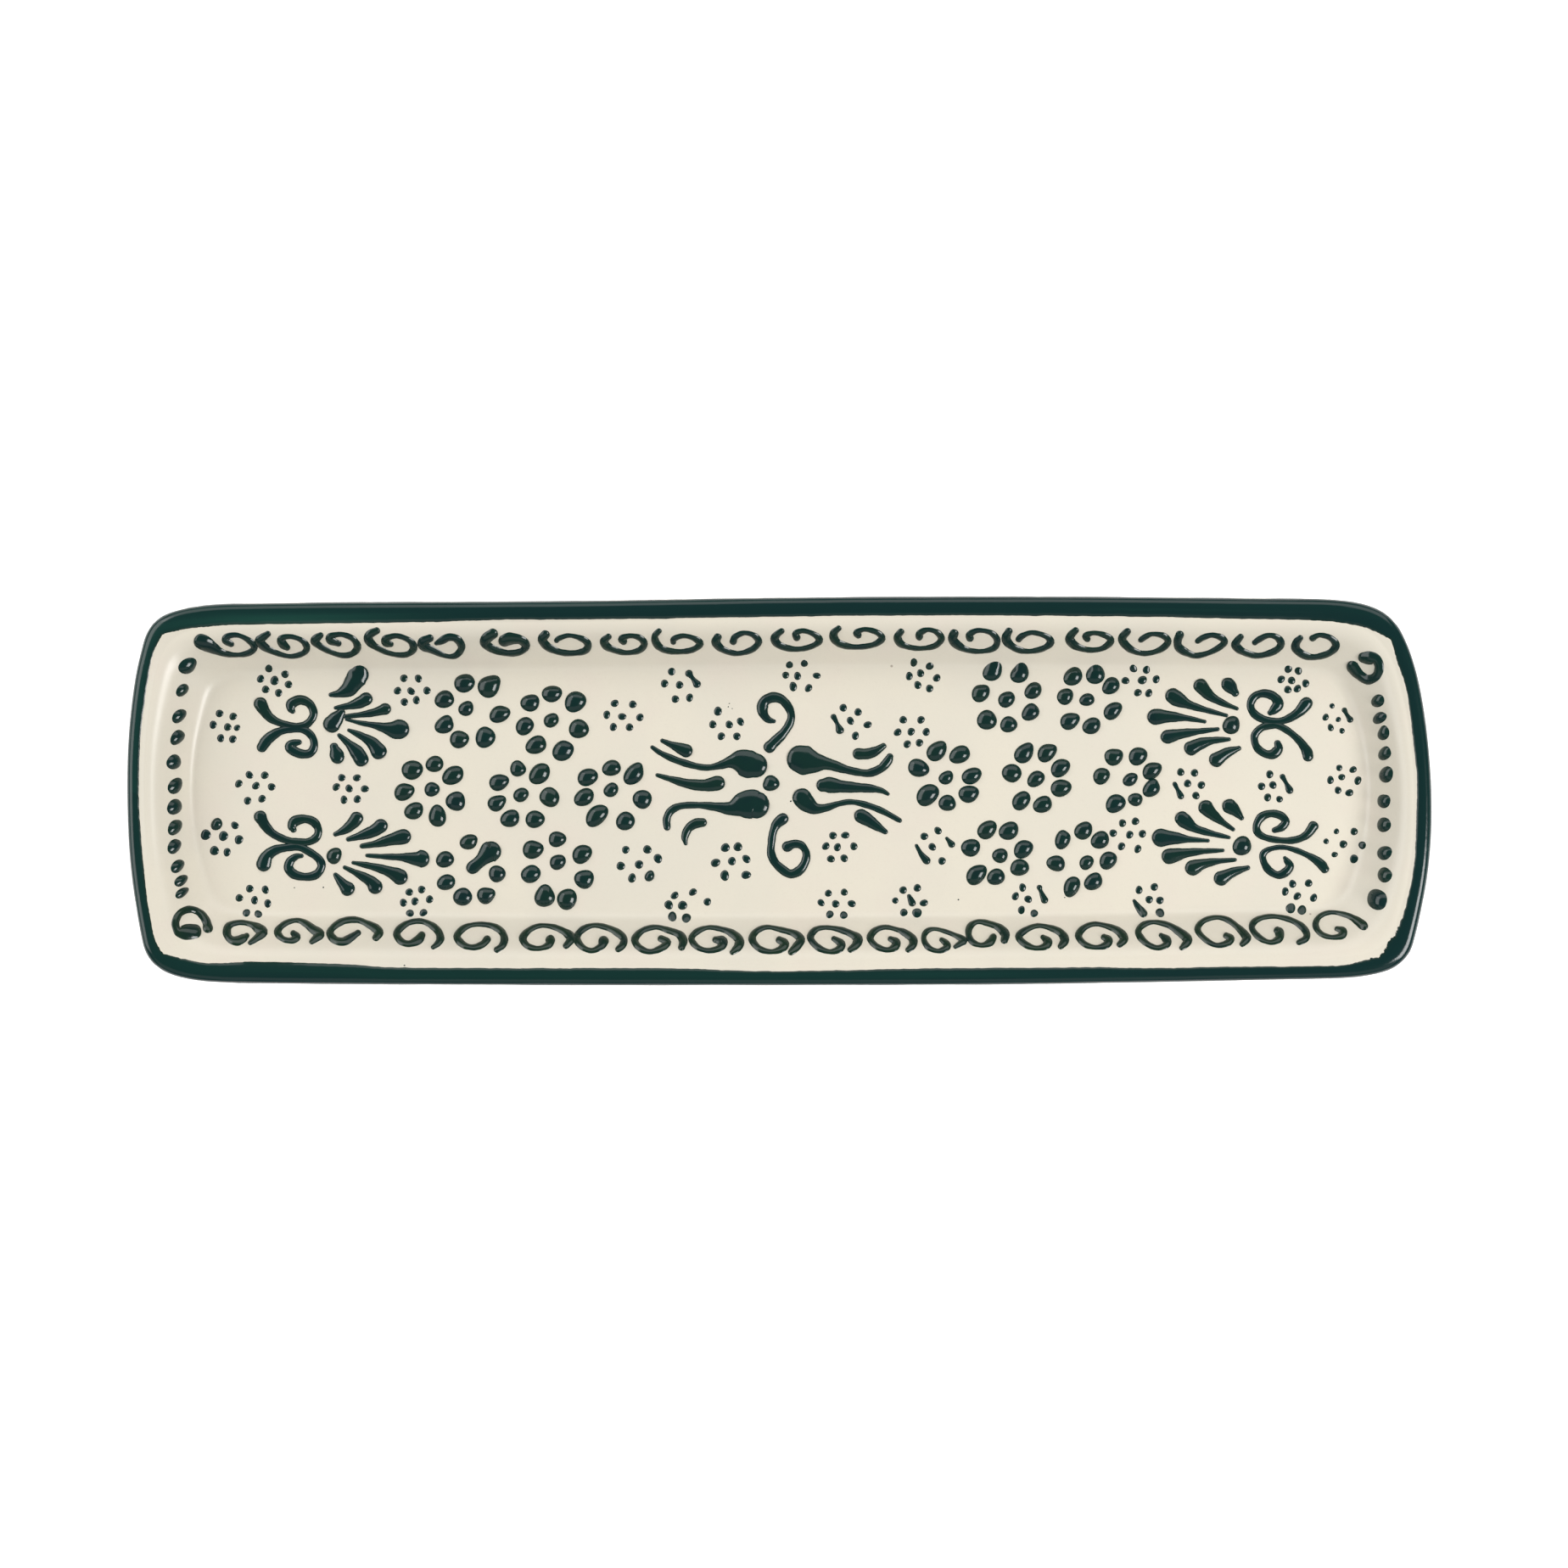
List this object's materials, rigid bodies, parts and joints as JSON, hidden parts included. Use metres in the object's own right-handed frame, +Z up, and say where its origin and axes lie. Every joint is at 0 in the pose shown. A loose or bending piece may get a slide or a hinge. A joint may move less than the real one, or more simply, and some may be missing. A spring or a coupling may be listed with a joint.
{
  "type": "ceramic serving tray",
  "caption": "Long shallow ceramic serving tray with a sloped wall, rounded lip, foot ring and raised trailed decoration on its floor.",
  "frame": {"origin": "under the middle of the tray's bounding box, on the plane that the foot ring stands on", "axes": "+X along the tray, +Y across it, +Z up"},
  "size_m": [0.356, 0.1054, 0.018],
  "materials": {
    "clay": "bare fired clay, matt, showing on the foot ring",
    "cream_glaze": "cream gloss glaze",
    "green_glaze": "dark green gloss glaze, brushed over the rim",
    "trailed_glaze": "dark green gloss glaze, trailed in raised strokes and beads"
  },
  "bodies": {
    "root": {"clay_body": "clay", "inside_glaze": "cream_glaze", "outside_glaze": "cream_glaze", "underside_glaze": "cream_glaze", "rim_band": "green_glaze", "centre_upper_curl": "trailed_glaze", "centre_lower_curl": "trailed_glaze", "centre_bead": "trailed_glaze", "left_wedge": "trailed_glaze", "left_long_stroke": "trailed_glaze", "left_middle_stroke": "trailed_glaze", "left_hooked_stroke": "trailed_glaze", "left_comma": "trailed_glaze", "right_long_stroke": "trailed_glaze", "right_comma": "trailed_glaze", "right_middle_stroke": "trailed_glaze", "right_lower_stroke": "trailed_glaze", "right_wedge": "trailed_glaze", "lower_right_upper_scroll": "trailed_glaze", "lower_right_lower_scroll": "trailed_glaze", "upper_left_scrolls": "trailed_glaze", "lower_left_scrolls": "trailed_glaze", "upper_right_scrolls": "trailed_glaze", "upper_left_fan_bead": "trailed_glaze", "upper_left_fan_petal_1": "trailed_glaze", "upper_left_fan_petal_2": "trailed_glaze", "upper_left_fan_petal_3": "trailed_glaze", "upper_left_fan_petal_4": "trailed_glaze", "upper_left_fan_petal_5": "trailed_glaze", "upper_left_fan_petal_6": "trailed_glaze", "upper_left_fan_petal_7": "trailed_glaze", "lower_left_fan_bead": "trailed_glaze", "lower_left_fan_petal_1": "trailed_glaze", "lower_left_fan_petal_2": "trailed_glaze", "lower_left_fan_petal_3": "trailed_glaze", "lower_left_fan_petal_4": "trailed_glaze", "lower_left_fan_petal_5": "trailed_glaze", "lower_left_fan_petal_6": "trailed_glaze", "lower_left_fan_petal_7": "trailed_glaze", "upper_right_fan_bead": "trailed_glaze", "upper_right_fan_petal_1": "trailed_glaze", "upper_right_fan_petal_2": "trailed_glaze", "upper_right_fan_petal_3": "trailed_glaze", "upper_right_fan_petal_4": "trailed_glaze", "upper_right_fan_petal_5": "trailed_glaze", "upper_right_fan_petal_6": "trailed_glaze", "upper_right_fan_petal_7": "trailed_glaze", "lower_right_fan_bead": "trailed_glaze", "lower_right_fan_petal_1": "trailed_glaze", "lower_right_fan_petal_2": "trailed_glaze", "lower_right_fan_petal_3": "trailed_glaze", "lower_right_fan_petal_4": "trailed_glaze", "lower_right_fan_petal_5": "trailed_glaze", "lower_right_fan_petal_6": "trailed_glaze", "lower_right_fan_petal_7": "trailed_glaze"}
  },
  "joints": []
}
